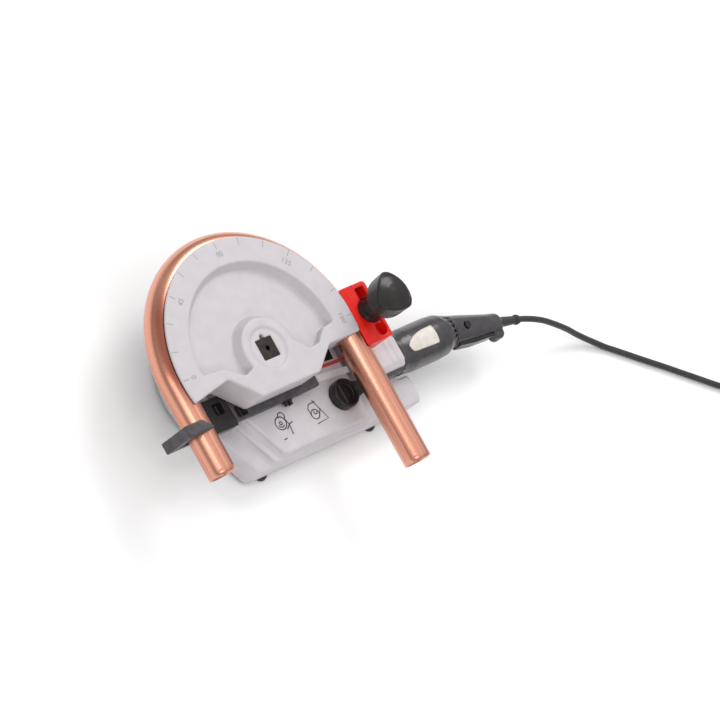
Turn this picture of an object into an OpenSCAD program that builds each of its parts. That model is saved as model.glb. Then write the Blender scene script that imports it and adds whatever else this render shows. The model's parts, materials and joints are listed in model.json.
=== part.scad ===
// Electric tube bender for the bench: a geared motor turns a grooved former, a hook draws the
// tube round it and a back former holds the tube in the groove.
// Millimetres. +Z is the drive axis, upwards, and z = 0 is the bench. +X runs along the motor.

/* [Tube] */
// Outside diameter of the bent tube
tube_d = 35; // [30:0.5:36]
// Wall thickness of the tube
tube_wall = 1.5; // [1:0.1:3]
// Radius of the bend at the tube's centre line
bend_r = 140; // [136:1:146]
// Straight leg of the tube past the back former
leg_front = 196; // [150:1:220]
// Straight leg of the tube in the hook
leg_hook = 114; // [90:1:150]

/* [Bending former] */
// Lip of the former outside the bend radius
former_lip = 4; // [2:0.5:6]
// Flange above and below the tube
flange_t = 4; // [3:0.5:8]
// Clearance round the tube in the grooves
groove_gap = 0.3; // [0.2:0.05:0.6]
// Depth of the pocket in the former's face
pocket_depth = 12; // [4:1:16]
// Width of the rim outside the pocket
rim_w = 32.5; // [26:0.5:40]
// Radius of the hub inside the pocket
hub_r = 38; // [34:1:46]
// Reach of the lobe in front of the drive axis
lobe_reach = 51; // [46:1:56]
// Reach of the ear that ends the groove
ear_reach = 25; // [18:1:30]

/* [Hook] */
// Width of the hook and its limb
hook_w = 14.5; // [10:0.5:18]
// Thickness of the hook's finger over the tube
finger_t = 8; // [5:0.5:12]
// Thickness of the hook's outer wall
hook_wall = 14; // [10:0.5:20]
// Height of the hook's lower limb
limb_h = 10; // [8:0.5:11]
// Outward travel of the hook
hook_travel = 25; // [10:1:30]
// Height of the hook arm
arm_h = 15.8; // [14.5:0.1:18]
// Width of the hook arm
arm_w = 26; // [20:1:27]
// Length of the hook arm to the right of the drive axis
arm_reach = 80; // [60:1:90]

/* [Base] */
// Height of the rubber feet
foot_h = 4; // [2:0.5:8]
// Radius of a rubber foot
foot_r = 11; // [8:0.5:14]
// Height of the lower tier above the bench
tier_z = 40; // [38:0.5:42]
// Height of the deck above the bench
deck_z = 55; // [54:0.5:56]
// Radius of the gear case round the drive axis
case_r = 92; // [90:1:100]
// Distance from the drive axis to the front edge
base_front = 125; // [120:1:135]
// Right end of the base
base_right = 246; // [238:1:252]
// Slant of the left side
side_slant = 26; // [18:0.1:30]
// Wall of the gear housing
case_wall = 5; // [4:0.5:6]
// Thickness of the bottom plate
plate_t = 3; // [2:0.5:4]
// Clearance round a part that drops into a recess
drop_gap = 0.3; // [0.2:0.1:0.6]

/* [Drive] */
// Side of the drive square
square_w = 25.6; // [22:0.1:27]
// Clearance of the former on the square
square_gap = 0.3; // [0.1:0.05:0.5]
// Radial clearance of a shaft in its bearing
run_gap = 0.05; // [0.02:0.01:0.08]
// Teeth of the worm wheel
wheel_teeth = 40; // [36:1:44]
// Module of the worm and its wheel
worm_module = 2.4; // [2.2:0.05:2.5]
// Face width of the worm wheel
wheel_w = 12; // [8:1:14]
// Pitch radius of the worm
worm_r = 12; // [11:0.5:13]
// Height of the worm's axis
worm_z = 27; // [26.5:0.1:27.5]
// Teeth of the motor pinion
pinion_teeth = 10; // [10:1:11]
// Teeth of the gear on the worm shaft
gear_teeth = 28; // [26:1:28]
// Module of the spur pair
spur_module = 1; // [0.95:0.01:1]

/* [Motor] */
// Largest radius of the motor housing
motor_r = 28; // [27:0.5:30]
// Wall of the motor housing
motor_wall = 3; // [2:0.5:4]
// Length of the motor housing
motor_len = 106; // [104:1:116]
// Air slots above and below the motor's tail
slot_count = 5; // [3:2:7]
// Radius of the grip
grip_r = 18.5; // [17:0.5:20]
// Radius of the grip at its far end
grip_tail_r = 15.5; // [15:0.25:17]
// Length of the grip along its own axis
grip_len = 92; // [88:1:104]
// Bend of the grip towards the front
grip_yaw = 11.3; // [6:0.1:14]
// Wall of the grip shells
grip_wall = 2.5; // [2:0.25:3]
// Swing of the trigger
trigger_swing = 4; // [2:0.5:5]
// Travel of the lock button
lock_travel = 2; // [1:0.25:2.5]

/* [Clamp and selector] */
// Radius of the clamp knob over its corners
knob_r = 30.5; // [26:0.5:34]
// Height of the clamp knob's grip
knob_h = 31; // [26:1:38]
// Height of the collar under the clamp knob
collar_h = 27; // [20:1:32]
// Radius of the clamp stud
stud_r = 6; // [5:0.25:8]
// Length of the back former along the tube
back_len = 76; // [70:1:84]
// Width of the back former and its holder
back_w = 42; // [40:1:48]
// Width of the grooved back former
shoe_w = 18.5; // [17:0.5:20]
// Clearance round the tube in the back former
back_gap = 0.5; // [0.3:0.05:0.8]
// Radius of the selector knob
dial_r = 19; // [16:0.5:22]
// Height of the selector knob
dial_h = 13; // [10:0.5:18]

/* [Cord] */
// Diameter of the mains cord
cord_d = 8; // [7:0.25:8]
// Length of the tapered sleeve at the grip
sleeve_len = 38; // [36:1:40]

/* [Hidden] */
$fn = 64;

// Colours of the finishes
casting_grey = [0.76, 0.75, 0.77];
former_grey = [0.83, 0.82, 0.84];
signal_red = [0.86, 0.13, 0.10];
shell_black = [0.24, 0.24, 0.26];
knob_black = [0.14, 0.14, 0.15];
steel = [0.70, 0.71, 0.73];
dark_steel = [0.29, 0.29, 0.32];
bronze = [0.72, 0.53, 0.28];
copper = [0.83, 0.52, 0.38];
rubber = [0.12, 0.12, 0.13];

// Heights, from the bench up
case_z = foot_h;
plate_top = case_z + plate_t;
arm_clear = 2.2;
arm_z = deck_z + arm_clear;
former_z = arm_z + arm_h;
former_t = tube_d + 2 * flange_t;
former_top = former_z + former_t;
tube_z = former_z + former_t / 2;
seat_z = former_z - 0.5;

// The former and what stands beside it
former_r = bend_r + former_lip;
groove_r = tube_d / 2 + groove_gap;
square_hole = square_w + 2 * square_gap;
groove_cover = 13.5;
back_x = bend_r + tube_d / 2 - groove_cover;
holder_x = back_x + shoe_w;
back_y = -8;
clamp_x = holder_x + 7.5;
clamp_y = back_y + 1;
tower_x = bend_r + tube_d / 2 + 0.5;
tower_back = back_y + back_len / 2 + 8;

// Gear train: the worm lies a centre distance in front of the drive axis
wheel_r = wheel_teeth * worm_module / 2;
motor_y = -(wheel_r + worm_r);
worm_pitch = PI * worm_module;
worm_out = worm_r + worm_module;
worm_len = 52;
spur_gap = 0.1;
motor_z = worm_z + (pinion_teeth + gear_teeth) * spur_module / 2 + spur_gap;
neck_x = tower_x + 68;
neck_half = 25;
neck_wall = 10;
gear_x = neck_x - 40;
gear_w = 12;
worm_shaft_r = 5;
bearing_w = 8;
worm_bearing_out = 11;
left_bearing_x = -50;
right_bearing_x = tower_x + 10;
bracket_w = bearing_w + 2;

// Drive shaft radii and its bearings
low_journal = 10;
wheel_seat = 14;
top_journal = 17.5;
shoulder_r = 22;
low_bearing_out = 16;
top_bearing_out = 26;
boss_r = 31;
boss_z = deck_z + 7;
top_bearing_w = 10;
seal_t = 2;
deck_t = 4.5;
roof_z = 42.5;
wheel_z = worm_z - wheel_w / 2;
hub_below = 1;
hub_above = 4;

// Motor inside its housing
fan_x = neck_x + 12;
fan_w = 10;
rear_bearing_x = neck_x + motor_len - 16;
comm_len = 14;
comm_x = rear_bearing_x - comm_len - 2;
comm_r = 10;
core_x = neck_x + 26;
core_len = comm_x - 6 - core_x;
core_r = 15;
air_gap = 0.8;
rear_bearing_out = 9.5;
motor_shaft_r = 4;
motor_in = motor_r - motor_wall;

// Grip frame
grip_x = neck_x + motor_len - 6;
pivot = [18, -14.5];
paddle_half = 9;

// Places of the feet, the screws and the selector
// The front feet stand a little proud of the front edge
foot_proud = 4;
feet_at = [
  [-10, -base_front + foot_r - foot_proud], [base_right - 64, -base_front + foot_r - foot_proud],
  [-case_r * 0.6, 50], [tower_x + 12, 20]
];
edge_inset = 9.6;
side_inset = 14.7;
plate_screws_at = [
  [-(case_r - side_inset - 78 * sin(side_slant)) / cos(side_slant), -78],
  [95, -base_front + 14], [base_right - 30, -base_front + 17], [tower_x + 12, -10],
  (case_r - edge_inset) * [cos(61), sin(61)], (case_r - edge_inset - 2.4) * [-cos(13), sin(13)]
];
dial_at = [tower_x - 40.5, -base_front + 44];
screw_r = 2;
post_thread = 11;

// Outlines: unit vector, rounded corner, rounded polygon and inset polygon, all anticlockwise
function unit(v) = v / norm(v);
function corner(a, b, c, r, n) = r == 0 ? [b] :
  let (u = unit(a - b), w = unit(c - b), half = acos(u * w) / 2,
       m = b + unit(u + w) * r / sin(half),
       s = b + u * r / tan(half) - m, e = b + w * r / tan(half) - m,
       a0 = atan2(s.y, s.x), turn = atan2(e.y, e.x) - a0,
       sweep = turn > 180 ? turn - 360 : turn < -180 ? turn + 360 : turn)
  [for (i = [0:n]) m + r * [cos(a0 + sweep * i / n), sin(a0 + sweep * i / n)]];
function rounded(p, r, n = 5) = let (k = len(p))
  [for (i = [0:k - 1]) each corner(p[(i + k - 1) % k], p[i], p[(i + 1) % k], is_list(r) ? r[i] : r, n)];
function inward(a, b) = let (d = unit(b - a)) [-d.y, d.x];
function inset(p, e) = let (k = len(p))
  [for (i = [0:k - 1])
    let (n1 = inward(p[(i + k - 1) % k], p[i]), n2 = inward(p[i], p[(i + 1) % k]))
    p[i] + (n1 + n2) * e / (1 + n1 * n2)];
function arc(r, a0, a1, n) =
  [for (i = [0:n]) let (a = a0 + (a1 - a0) * i / n) r * [cos(a), sin(a)]];
// Where the slanted left side, tangent to a circle of radius r, meets the front edge
function slant_corner(r, front) =
  let (t = (front - r * sin(side_slant)) / cos(side_slant))
  [-r * cos(side_slant) + sin(side_slant) * t, -front];
back_arc = 73;
// An outline moved inwards by e and then rounded by the radii given for the outer edge
function soften(p, r, e) = rounded(inset(p, e), [for (q = r) q == 0 ? 0 : max(q - e, 1)]);
// A tier of the base: slanted left side, round back and straight front and right sides
function tier(r, front, right, back) = concat([slant_corner(r, front), [right, -front], [right, back]],
  arc(r, back_arc, 180 + side_slant, 16));
function tier_soft(soft) = [for (i = [0:19]) i < 3 ? soft : 0];

motor_clear = 0.5;
motor_side = motor_y - motor_r - motor_clear;
neck_back = motor_y + neck_half;
seat_right = back_x + back_w + 5;
base_raw = concat(
  [slant_corner(case_r, base_front), [base_right, -base_front], [base_right, motor_side],
   [neck_x, motor_side], [neck_x, neck_back], [seat_right, neck_back], [seat_right, tower_back]],
  arc(case_r, back_arc, 180 + side_slant, 20));
base_soft = [for (i = [0:len(base_raw) - 1]) i == 0 || i == 6 ? 12 : i == 1 ? 6 : i < 6 ? 3 : 0];
function base_plan(e) = soften(base_raw, base_soft, e);
ledge_z = deck_z - 8;
front_step = 3.5;
ledge_raw = tier(68, base_front - front_step, tower_x - 6, tower_back - 6);
function ledge_plan(e) = soften(ledge_raw, tier_soft(10), e);
deck_plan = soften(tier(55, base_front - 2 * front_step, tower_x - 13, tower_back - 10), tier_soft(10), 0);
neck_front = motor_y - neck_half + 5;
neck_bevel = 8;
tower_plan = rounded([[tower_x, neck_front], [neck_x, neck_front], [neck_x, neck_back],
  [seat_right, neck_back], [seat_right, tower_back], [tower_x, tower_back]], [4, 2, 2, 3, 8, 8]);

module prism(p, z0, z1) { translate([0, 0, z0]) linear_extrude(z1 - z0) polygon(p); }
module rod_x(x0, x1, y, z, r) { translate([x0, y, z]) rotate([0, 90, 0]) cylinder(r = r, h = x1 - x0); }
module rod_z(z0, z1, r) { translate([0, 0, z0]) cylinder(r = r, h = z1 - z0); }
module ring_x(x0, x1, y, z, ro, ri) {
  difference() {
    rod_x(x0, x1, y, z, ro);
    rod_x(x0 - 1, x1 + 1, y, z, ri);
  }
}
module ring_z(z0, z1, ro, ri) {
  difference() {
    rod_z(z0, z1, ro);
    rod_z(z0 - 1, z1 + 1, ri);
  }
}
module block(x0, x1, y0, y1, z0, z1) { translate([x0, y0, z0]) cube([x1 - x0, y1 - y0, z1 - z0]); }
// Brings what follows into the grip's frame: x along the grip
module in_grip() { translate([grip_x, motor_y, motor_z]) rotate([0, 0, -grip_yaw]) children(); }
// A profile of [radius, x] points turned about the motor's axis
module turned_x(profile, y, z) {
  translate([0, y, z]) rotate([0, 90, 0]) rotate_extrude() polygon(profile);
}

// A spur gear's outline: straight flanks between the root, pitch and tip circles
function gear_plan(teeth, m, slim) = let (step = 360 / teeth, r = teeth * m / 2)
  [for (i = [0:teeth - 1]) let (a = i * step) each
    [for (q = [[r - 1.25 * m, -0.31], [r, -slim], [r + 0.95 * m, -0.09],
               [r + 0.95 * m, 0.09], [r, slim], [r - 1.25 * m, 0.31]])
      q[0] * [cos(a + q[1] * step), sin(a + q[1] * step)]]];

// Base and gear housing
module lower_cavity() {
  prism(base_plan(case_wall), plate_top - 0.5, tier_z - case_wall);
  prism(ledge_plan(case_wall), plate_top + 1, roof_z);
  block(tower_x + case_wall, neck_x - neck_wall, neck_front + case_wall, neck_back - case_wall,
    plate_top + 2, seat_z - case_wall);
}
module bearing_bracket(x, top) {
  block(x, x + bracket_w, motor_y - 16, motor_y + 16, worm_z - 13, top);
}
module neck_ribs() {
  for (x = [neck_x - 22, neck_x - 12])
    block(x, x + 3, neck_front + neck_bevel + 0.5, neck_back - neck_bevel - 0.5, seat_z, seat_z + 1);
}
// Bevels along the neck's upper edges, which lead from the square tower to the round motor
module neck_bevels() {
  drop = 5.5;
  for (q = [[tower_x - 1, neck_front, 1], [seat_right - 1, neck_back, -1]])
    translate([q[0], q[1], seat_z]) scale([1, q[2], 1]) rotate([90, 0, 90])
      linear_extrude(neck_x - q[0] + 1) polygon([[-1, -drop * (1 + 1 / neck_bevel)], [neck_bevel, 0],
        [neck_bevel, 2], [-1, 2]]);
}
// Posts under the roof that take the screws of the bottom plate
module screw_posts() {
  intersection() {
    for (p = plate_screws_at) translate([p.x, p.y, 0]) rod_z(plate_top, roof_z + 1, 5);
    union() {
      prism(base_plan(1), plate_top - 1, tier_z - 1);
      prism(ledge_plan(1), plate_top - 1, ledge_z - 1);
    }
  }
}
module gear_housing() {
  color(casting_grey) difference() {
    union() {
      difference() {
        union() {
          prism(base_plan(0), case_z, tier_z);
          prism(ledge_plan(0), tier_z - 1, ledge_z);
          prism(deck_plan, ledge_z - 1, deck_z);
          prism(tower_plan, tier_z - 1, seat_z);
          neck_ribs();
          rod_z(deck_z - 1, boss_z, boss_r);
        }
        lower_cavity();
        neck_bevels();
        prism(base_plan(case_wall / 2), case_z - 1, plate_top);
      }
      bearing_bracket(left_bearing_x, tier_z - 1);
      bearing_bracket(right_bearing_x, seat_z - 1);
      screw_posts();
    }
    for (x = [left_bearing_x, right_bearing_x]) {
      rod_x(x + bracket_w - bearing_w, x + bracket_w + 1, motor_y, worm_z, worm_bearing_out);
      rod_x(x - 1, x + bracket_w, motor_y, worm_z, worm_shaft_r + 2);
    }
    rod_x(neck_x - neck_wall - 1, neck_x - neck_wall + bearing_w, motor_y, motor_z, worm_bearing_out);
    rod_x(neck_x - neck_wall - 1, neck_x + 1, motor_y, motor_z, worm_bearing_out - 3);
    rod_z(boss_z - seal_t - top_bearing_w, boss_z + 1, top_bearing_out);
    rod_z(roof_z - 1, boss_z + 1, top_journal + 2);
    translate([dial_at.x, dial_at.y, 0]) rod_z(roof_z - 1, deck_z + 1, dial_stem_r + drop_gap);
    translate([clamp_x, clamp_y, 0]) rod_z(stud_z - 2, seat_z + 1, stud_r + run_gap);
    for (a = motor_screw_angles)
      translate([0, motor_y, motor_z]) rotate([a, 0, 0])
        rod_x(neck_x - neck_wall + 1, neck_x + 1, 0, motor_screw_ring, screw_r);
    for (p = plate_screws_at) translate([p.x, p.y, 0])
      rod_z(plate_top - 1, plate_top + post_thread + 1, screw_r);
    for (x = cover_screw_x)
      translate([x, neck_front + 4, cover_mid]) rotate([90, 0, 0]) cylinder(r = screw_r, h = 5);
  }
}
module bottom_plate() {
  color(dark_steel) difference() {
    union() {
      prism(base_plan(case_wall / 2 + drop_gap), case_z, plate_top);
      rod_z(plate_top - 1, plate_top + 11, low_bearing_out + 5);
    }
    rod_z(plate_top + 3, plate_top + 12, low_bearing_out);
    rod_z(plate_top + 1, plate_top + 12, low_journal + 3);
    for (p = plate_screws_at) translate([p.x, p.y, 0]) {
      rod_z(case_z - 1, plate_top + 1, screw_r);
      rod_z(case_z - 1, case_z + 1.6, 4);
    }
  }
}
module plate_screws() {
  color(steel) for (p = plate_screws_at) translate([p.x, p.y, 0]) difference() {
    union() {
      rod_z(case_z + 0.1, case_z + 1.6, 3.6);
      rod_z(case_z + 1, plate_top + post_thread, screw_r);
    }
    rod_z(case_z - 1, case_z + 1, 1.5);
  }
}
module feet() {
  color(rubber) for (p = feet_at) translate([p.x, p.y, 0]) rotate_extrude()
    polygon([[0, 0], [foot_r - 1.5, 0], [foot_r, 1], [foot_r - 1, foot_h], [0, foot_h]]);
}

// Drive shaft, its bearings and the worm gear
low_bearing_z = plate_top + 3;
low_bearing_w = 9;
module bearing_z(z0, w, ro, ri) {
  difference() {
    ring_z(z0, z0 + w, ro, ri);
    for (z = [z0 - 1, z0 + w - 0.6]) ring_z(z, z + 1.6, ro - 2.5, ri + 2.5);
  }
}
module bearing_x(x0, w, y, z, ro, ri) {
  translate([x0, y, z]) rotate([0, 90, 0]) bearing_z(0, w, ro, ri);
}
module lower_bearing() {
  color(steel) bearing_z(low_bearing_z, low_bearing_w - 1, low_bearing_out, low_journal + run_gap);
}
module upper_bearing() {
  z0 = boss_z - seal_t - top_bearing_w;
  color(steel) bearing_z(z0, top_bearing_w, top_bearing_out, top_journal + run_gap);
}
module shaft_seal() {
  color(rubber) ring_z(boss_z - seal_t, boss_z, top_bearing_out, top_journal + run_gap);
}
square_top = former_top - 3;
centre_hole_r = 3.2;
module drive_shaft() {
  color(steel) difference() {
    union() {
      rod_z(plate_top + 4, wheel_z - hub_below, low_journal);
      rod_z(wheel_z - hub_below, wheel_z + wheel_w + hub_above, wheel_seat);
      rod_z(wheel_z + wheel_w + hub_above, boss_z + 1, top_journal);
      rod_z(boss_z + 1, former_z, shoulder_r);
      block(-square_w / 2, square_w / 2, -square_w / 2, square_w / 2, former_z - 1, square_top);
    }
    rod_z(square_top - 20, square_top + 1, centre_hole_r);
  }
}
module worm_wheel() {
  color(bronze) difference() {
    union() {
      // Turned half a tooth so that a gap faces the worm's thread
      rotate([0, 0, -90 + 180 / wheel_teeth])
        prism(gear_plan(wheel_teeth, worm_module, 0.18), wheel_z, wheel_z + wheel_w);
      rod_z(wheel_z - hub_below, wheel_z + wheel_w + hub_above, wheel_seat + 8);
    }
    rod_z(wheel_z - hub_below - 1, wheel_z + wheel_w + hub_above + 1, wheel_seat);
    for (a = [0:60:300]) rotate([0, 0, a]) translate([33, 0, 0])
      rod_z(wheel_z - 1, wheel_z + wheel_w + 1, 6);
  }
}
module worm_bearings() {
  color(steel) for (x = [left_bearing_x, right_bearing_x])
    bearing_x(x + bracket_w - bearing_w, bearing_w, motor_y, worm_z,
      worm_bearing_out, worm_shaft_r + run_gap);
}
module worm_shaft() {
  color(steel) difference() {
    union() {
      rod_x(left_bearing_x - 1, gear_x + gear_w + 3, motor_y, worm_z, worm_shaft_r);
      rod_x(worm_len / 2, worm_len / 2 + 6, motor_y, worm_z, worm_shaft_r + 2);
    }
    rod_x(gear_x + gear_w - 4, gear_x + gear_w + 4, motor_y, worm_z, 1.5);
  }
}
// The thread: a trapezoid swept round the core, one crest for each wheel gap
thread_steps = 24;
thread_turns = 6;
thread_root = worm_r - 1.25 * worm_module;
function thread_ring(i) =
  let (t = i / thread_steps - thread_turns / 2, a = 360 * t, x = worm_pitch * t,
       fade = min(1, min(i, thread_steps * thread_turns - i) / 12),
       tip = thread_root + 0.2 + (worm_out - thread_root - 0.3) * fade)
  [for (q = [[thread_root - 0.6, -0.29], [tip, -0.09], [tip, 0.09], [thread_root - 0.6, 0.29]])
    [x + q[1] * worm_pitch, q[0] * cos(a), q[0] * sin(a)]];
module thread() {
  n = thread_steps * thread_turns;
  points = [for (i = [0:n]) each thread_ring(i)];
  sides = [for (i = [0:n - 1], j = [0:3]) let (k = (j + 1) % 4)
    each [[4 * i + j, 4 * i + 4 + k, 4 * i + k], [4 * i + j, 4 * i + 4 + j, 4 * i + 4 + k]]];
  ends = [[0, 1, 2], [0, 2, 3], [4 * n + 2, 4 * n + 1, 4 * n], [4 * n + 3, 4 * n + 2, 4 * n]];
  polyhedron(points = points, faces = [for (f = concat(sides, ends)) [f[2], f[1], f[0]]]);
}
module worm() {
  color(steel) difference() {
    union() {
      rod_x(-worm_len / 2, worm_len / 2, motor_y, worm_z, thread_root);
      translate([0, motor_y, worm_z]) thread();
    }
    rod_x(-worm_len, worm_len, motor_y, worm_z, worm_shaft_r);
  }
}
// Spur pair between the motor and the worm shaft
module spur_x(teeth, x, z, turn, bore) {
  translate([x, motor_y, z]) rotate([0, 90, 0]) rotate([0, 0, turn]) difference() {
    linear_extrude(gear_w) polygon(gear_plan(teeth, spur_module, 0.2));
    translate([0, 0, -1]) cylinder(r = bore, h = gear_w + 2);
  }
}
module worm_gear() { color(steel) spur_x(gear_teeth, gear_x, worm_z, 180, worm_shaft_r); }
module motor_pinion() {
  color(steel) spur_x(pinion_teeth, gear_x, motor_z, 180 / pinion_teeth, pinion_bore);
}

// Motor
pinion_bore = 2.5;
motor_screw_angles = [45:90:315];
motor_screw_ring = 20.5;
module motor_bearings() {
  color(steel) {
    bearing_x(neck_x - neck_wall, bearing_w, motor_y, motor_z, worm_bearing_out, motor_shaft_r + run_gap);
    bearing_x(rear_bearing_x, bearing_w, motor_y, motor_z, rear_bearing_out, motor_shaft_r + run_gap);
  }
}
front_ring = 10;
front_taper = 24;
tail_taper = 32;
tail_round = 18;
throat_r = 14;
flange = 4;
slot_w = 4.5;
slot_step = 17;
module motor_housing() {
  tail_x = neck_x + motor_len;
  seat_x = rear_bearing_x + bearing_w;
  color(shell_black) difference() {
    union() {
      turned_x([[throat_r, neck_x], [neck_half + 1, neck_x], [neck_half + 1, neck_x + front_ring],
        [motor_r, neck_x + front_taper], [motor_r, tail_x - tail_taper], [motor_r - 1, tail_x - tail_round],
        [grip_r + 2.5, tail_x], [grip_r - 0.5, tail_x], [motor_in - 2, tail_x - tail_round],
        [motor_in, tail_x - tail_taper], [motor_in, neck_x + front_taper],
        [neck_half - 2, neck_x + front_ring], [neck_half - 2, neck_x + flange],
        [throat_r, neck_x + flange]], motor_y, motor_z);
      ring_x(rear_bearing_x - 1, seat_x + 1, motor_y, motor_z, motor_in - 1.5, rear_bearing_out - 1.5);
    }
    ring_x(rear_bearing_x, seat_x, motor_y, motor_z, rear_bearing_out, 1);
    for (side = [0, 180], i = [0:slot_count - 1])
      translate([0, motor_y, motor_z]) rotate([side + slot_step * (i - (slot_count - 1) / 2), 0, 0]) {
        block(seat_x + 2, tail_x - 2, -slot_w / 2, slot_w / 2, grip_r - 3, motor_r + 2);
        block(seat_x - 4, seat_x + 3, -slot_w / 2, slot_w / 2, motor_in - 2.5, motor_r + 2);
      }
    for (a = motor_screw_angles) translate([0, motor_y, motor_z]) rotate([a, 0, 0])
      rod_x(neck_x - 1, neck_x + flange + 1, 0, motor_screw_ring, screw_r);
  }
}
module motor_screws() {
  color(steel) for (a = motor_screw_angles) translate([0, motor_y, motor_z]) rotate([a, 0, 0]) {
    rod_x(neck_x - neck_wall + 1, neck_x + flange, 0, motor_screw_ring, screw_r);
    rod_x(neck_x + flange, neck_x + flange + 2.5, 0, motor_screw_ring, 2.4);
  }
}
module stator() {
  color(dark_steel) union() {
    ring_x(core_x - 1, core_x + core_len + 1, motor_y, motor_z, motor_in, motor_in - 4);
    // Pole shoes, one on each side of the armature
    for (s = [-1, 1]) intersection() {
      ring_x(core_x - 1, core_x + core_len + 1, motor_y, motor_z, motor_in - 2, core_r + air_gap);
      block(core_x - 2, core_x + core_len + 2, motor_y + s * 14 - 14, motor_y + s * 14 + 14,
        motor_z - 10, motor_z + 10);
    }
  }
}
module armature_shaft() {
  color(steel) union() {
    rod_x(gear_x - 1, gear_x + gear_w, motor_y, motor_z, pinion_bore);
    rod_x(gear_x + gear_w, rear_bearing_x + bearing_w, motor_y, motor_z, motor_shaft_r);
  }
}
module armature_core() {
  color(copper) difference() {
    rod_x(core_x, core_x + core_len, motor_y, motor_z, core_r);
    rod_x(core_x - 1, core_x + core_len + 1, motor_y, motor_z, motor_shaft_r);
    for (a = [0:30:330]) translate([0, motor_y, motor_z]) rotate([a, 0, 0])
      block(core_x - 1, core_x + core_len + 1, -1, 1, core_r - 3, core_r + 1);
  }
}
module commutator() {
  color(copper) difference() {
    rod_x(comm_x, comm_x + comm_len, motor_y, motor_z, comm_r);
    rod_x(comm_x - 1, comm_x + comm_len + 1, motor_y, motor_z, motor_shaft_r);
    for (a = [0:15:345]) translate([0, motor_y, motor_z]) rotate([a, 0, 0])
      block(comm_x - 1, comm_x + comm_len + 1, -0.3, 0.3, comm_r - 1, comm_r + 1);
  }
}
module cooling_fan() {
  color(shell_black) difference() {
    union() {
      rod_x(fan_x, fan_x + 2, motor_y, motor_z, 19);
      rod_x(fan_x, fan_x + fan_w, motor_y, motor_z, 8);
      for (a = [0:40:320]) translate([0, motor_y, motor_z]) rotate([a, 0, 0])
        block(fan_x + 1, fan_x + fan_w, -0.8, 0.8, 7, 18.5);
    }
    rod_x(fan_x - 1, fan_x + fan_w + 1, motor_y, motor_z, motor_shaft_r);
  }
}
brush_w = 8;
brush_h = 5;
brush_x = comm_x + 3;
module brushes() {
  color(rubber) for (s = [0, 180]) translate([0, motor_y, motor_z]) rotate([s, 0, 0])
    block(brush_x, brush_x + brush_w, -brush_h / 2, brush_h / 2, comm_r + 0.2, comm_r + 9);
}
module brush_holders() {
  color(bronze) for (s = [0, 180]) translate([0, motor_y, motor_z]) rotate([s, 0, 0]) difference() {
    block(brush_x - 1.5, brush_x + brush_w + 1.5, -brush_h / 2 - 1.5, brush_h / 2 + 1.5,
      comm_r + 2, motor_in - 3);
    block(brush_x, brush_x + brush_w, -brush_h / 2, brush_h / 2, comm_r, comm_r + 11);
  }
}

// Grip: two shells that part at the motor's axis, with the trigger in a slot between them
pin_r = 2;
pin_half = 11.5;
grip_screw_x = [40, grip_len - 16];
screw_side = 3;
lock_x = 26;
lock_r = 4.5;
sleeve_root = 6;
sleeve_y = 2.5;
lug_r = 8.5;
lug_half = 9;
lug_reach = 20.6;
paddle_end = grip_len - 18.5;
// Radius of the grip along its axis
grip_lines = [[-6, grip_r + 2.5], [6, grip_r + 2.5], [28, grip_r + 1],
  [grip_len - 20, grip_tail_r], [grip_len - 5, grip_tail_r - 0.5]];
function grip_at(x) = lookup(x, grip_lines);
module grip_solid(thin) {
  // Turned so that the surface's seam stays clear of the screws
  rotate([60, 0, 0]) rotate([0, 90, 0]) rotate_extrude() polygon(concat(
    [[0, -6]], [for (q = grip_lines) [q[1] - thin, q[0]]],
    [[grip_tail_r - 4 - thin / 2, grip_len - thin], [0, grip_len - thin]]));
}
// Rounded lug behind the switch lever
module grip_lug() {
  translate([grip_len - lug_r, lug_r - lug_reach, -lug_half]) rotate_extrude() polygon([
    [0, 0], [lug_r - 2, 0], [lug_r, 2],
    [lug_r, 2 * lug_half - 2], [lug_r - 2, 2 * lug_half], [0, 2 * lug_half]]);
}
// Posts inside the shells that take the screws
module grip_posts() {
  intersection() {
    for (x = grip_screw_x) translate([x, screw_side, 0]) rod_z(-grip_r, grip_r, screw_r + 2);
    grip_solid(grip_wall / 2);
  }
}
module grip_shell() {
  difference() {
    in_grip() {
      difference() {
        union() {
          grip_solid(0);
          grip_lug();
        }
        grip_solid(grip_wall);
      }
      grip_posts();
    }
    block(grip_x - 60, neck_x + motor_len, motor_y - 60, motor_y + 60, motor_z - 60, motor_z + 60);
    in_grip() {
      block(pivot.x - 5, paddle_end + 1, -grip_r - 9, -6, -paddle_half - 0.5, paddle_half + 0.5);
      translate([pivot.x, pivot.y, -pin_half]) cylinder(r = pin_r, h = 2 * pin_half);
      translate([grip_len - 8, sleeve_y, 0]) rotate([0, 90, 0]) cylinder(r = sleeve_root, h = 9);
      for (x = grip_screw_x) translate([x, screw_side, 0])
        rod_z(-grip_r - 9, grip_at(x) - grip_wall, screw_r);
      translate([lock_x, 0, 0]) rod_z(0, grip_r + 9, lock_r + drop_gap);
    }
  }
}
module grip_upper() {
  color(shell_black) intersection() {
    grip_shell();
    block(grip_x - 20, grip_x + 2 * grip_len, motor_y - 90, motor_y + 90, motor_z, motor_z + 60);
  }
}
module grip_lower() {
  color(shell_black) intersection() {
    grip_shell();
    block(grip_x - 20, grip_x + 2 * grip_len, motor_y - 90, motor_y + 90, motor_z - 60, motor_z);
  }
}
module grip_screws() {
  color(steel) in_grip() for (x = grip_screw_x) translate([x, screw_side, 0])
    rod_z(-grip_at(x) + grip_wall, grip_at(x) - grip_wall, screw_r);
}
module switch_module() {
  color(knob_black) in_grip() block(46, 64, -7, 10, -8.5, 8.5);
}
module trigger_pin() {
  color(steel) in_grip() translate([pivot.x, pivot.y, -pin_half]) cylinder(r = pin_r, h = 2 * pin_half);
}
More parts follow.
